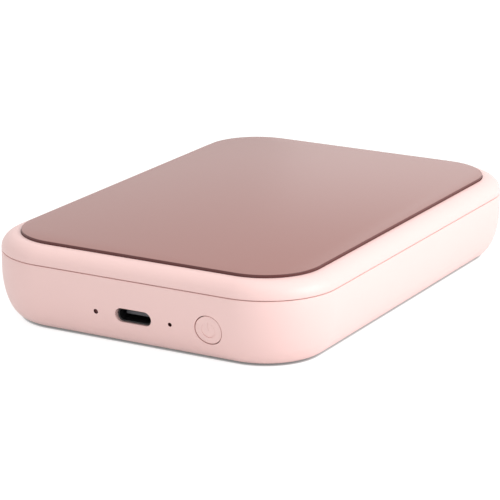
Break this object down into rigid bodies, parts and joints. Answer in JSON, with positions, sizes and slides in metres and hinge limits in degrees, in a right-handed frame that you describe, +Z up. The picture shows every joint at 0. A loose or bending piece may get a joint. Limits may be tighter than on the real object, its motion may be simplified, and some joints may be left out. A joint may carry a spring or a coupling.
{
  "type": "pocket photo printer",
  "caption": "Flat rounded-rectangle photo printer with a slide-off cover, a paper bay, a roller and gear feed, a USB-C socket and a push button.",
  "frame": {"origin": "centre of the footprint, at the underside of the feet", "axes": "+Z up, +Y along the length towards the paper slot, +X to the right when looking at the socket end"},
  "size_m": [0.0842, 0.119, 0.0206],
  "materials": {
    "blush_shell": "satin moulded plastic, blush pink",
    "rose_plate": "semi-gloss tinted plate, rose taupe",
    "rubber": "matt",
    "cable_rubber": "satin",
    "black_plastic": "fine matt",
    "white_plastic": "satin acetal",
    "grey_moulding": "fine spark texture",
    "light_pipe": "clear, smoky",
    "cork_pad": "cork and rubber friction pad",
    "circuit_board": "solder mask",
    "battery_foil": "satin pouch foil",
    "steel": "nickel-plated",
    "spring_steel": "drawn",
    "motor_can": "nickel-plated can",
    "aluminium": "milled",
    "head_ceramic": "glazed substrate",
    "brass": "turned"
  },
  "bodies": {
    "printer_base": {"lower_case": "blush_shell", "foot_paper_left": "rubber", "foot_paper_right": "rubber", "foot_socket_left": "rubber", "foot_socket_right": "rubber", "main_board": "circuit_board", "usb_shell": "steel", "usb_tongue": "black_plastic", "power_switch": "black_plastic", "reset_switch": "black_plastic", "charge_light_pipe": "light_pipe", "charge_lamp": "white_plastic", "controller_chip": "black_plastic", "radio_module": "steel", "battery": "battery_foil", "battery_lead": "cable_rubber", "battery_socket": "white_plastic", "paper_tray": "grey_moulding", "mechanism_frame": "black_plastic", "platen_bushing_left": "brass", "platen_bushing_right": "brass", "motor": "motor_can", "head_bridge": "steel", "head_leaf_spring": "spring_steel", "head_ribbon": "white_plastic", "ribbon_socket": "white_plastic", "tray_screw_paper_left": "steel", "tray_screw_paper_right": "steel", "tray_screw_socket_left": "steel", "tray_screw_socket_right": "steel", "frame_screw_left": "steel", "frame_screw_right": "steel"},
    "cover": {"top_cover": "blush_shell", "cover_plate": "rose_plate", "pressure_spring_left": "spring_steel", "pressure_spring_right": "spring_steel"},
    "pressure_flap": {"pressure_plate": "grey_moulding", "pressure_pad": "cork_pad"},
    "button": {"power_button": "blush_shell", "power_switch_plunger": "white_plastic"},
    "reset_pin": {"reset_plunger": "white_plastic"},
    "platen": {"platen_shaft": "steel", "platen_roller": "rubber", "platen_gear": "white_plastic"},
    "pickup": {"pickup_shaft": "steel", "pickup_roller_left": "rubber", "pickup_roller_right": "rubber", "pickup_gear": "white_plastic"},
    "idler": {"idler_gear": "white_plastic"},
    "reducer": {"reduction_gear": "white_plastic"},
    "motor_rotor": {"motor_pinion": "brass"},
    "thermal_head": {"print_head": "head_ceramic", "head_heat_sink": "aluminium", "head_connector": "white_plastic"}
  },
  "joints": [
    {"name": "cover_slide", "type": "slide", "parent": "printer_base", "child": "cover", "axis": [0, 0.8829, 0.4695], "range_m": [0, 0.06]},
    {"name": "pressure_plate_hinge", "type": "hinge", "parent": "cover", "child": "pressure_flap", "pos_m": [0, 0.001, 0.01712], "axis": [1, 0, 0], "range_deg": [0, 11], "stiffness_Nm_per_rad": 0.02, "springref_deg": -11.46, "deforming": ["pressure_spring_left", "pressure_spring_right"]},
    {"name": "power_button_press", "type": "slide", "parent": "printer_base", "child": "button", "axis": [0, 1, 0], "range_m": [0, 0.0004], "stiffness_N_per_m": 800, "springref_m": -0.0006},
    {"name": "reset_press", "type": "slide", "parent": "printer_base", "child": "reset_pin", "axis": [0, 1, 0], "range_m": [0, 0.00025], "stiffness_N_per_m": 600, "springref_m": -0.0005},
    {"name": "platen_spin", "type": "hinge", "parent": "printer_base", "child": "platen", "pos_m": [0, 0.0435, 0.008], "axis": [1, 0, 0], "continuous": true},
    {"name": "pickup_spin", "type": "hinge", "parent": "printer_base", "child": "pickup", "pos_m": [0, 0.02325, 0.008], "axis": [1, 0, 0], "continuous": true},
    {"name": "idler_spin", "type": "hinge", "parent": "printer_base", "child": "idler", "pos_m": [0, 0.033, 0.008], "axis": [1, 0, 0], "continuous": true},
    {"name": "reduction_spin", "type": "hinge", "parent": "printer_base", "child": "reducer", "pos_m": [0, 0.01632, 0.009], "axis": [1, 0, 0], "continuous": true},
    {"name": "motor_spin", "type": "hinge", "parent": "printer_base", "child": "motor_rotor", "pos_m": [0, 0.00953, 0.0056], "axis": [1, 0, 0], "continuous": true},
    {"name": "print_head_pivot", "type": "hinge", "parent": "printer_base", "child": "thermal_head", "pos_m": [0, 0.0505, 0.01355], "axis": [-1, 0, 0], "range_deg": [0, 2], "stiffness_Nm_per_rad": 0.3, "springref_deg": -5.73, "deforming": ["head_leaf_spring"]}
  ],
  "couplings": [
    {"joint": "pickup_spin", "follows": "platen_spin", "ratio": 1.1667},
    {"joint": "idler_spin", "follows": "platen_spin", "ratio": -1},
    {"joint": "reduction_spin", "follows": "platen_spin", "ratio": -2.1},
    {"joint": "motor_spin", "follows": "platen_spin", "ratio": 5.88}
  ]
}
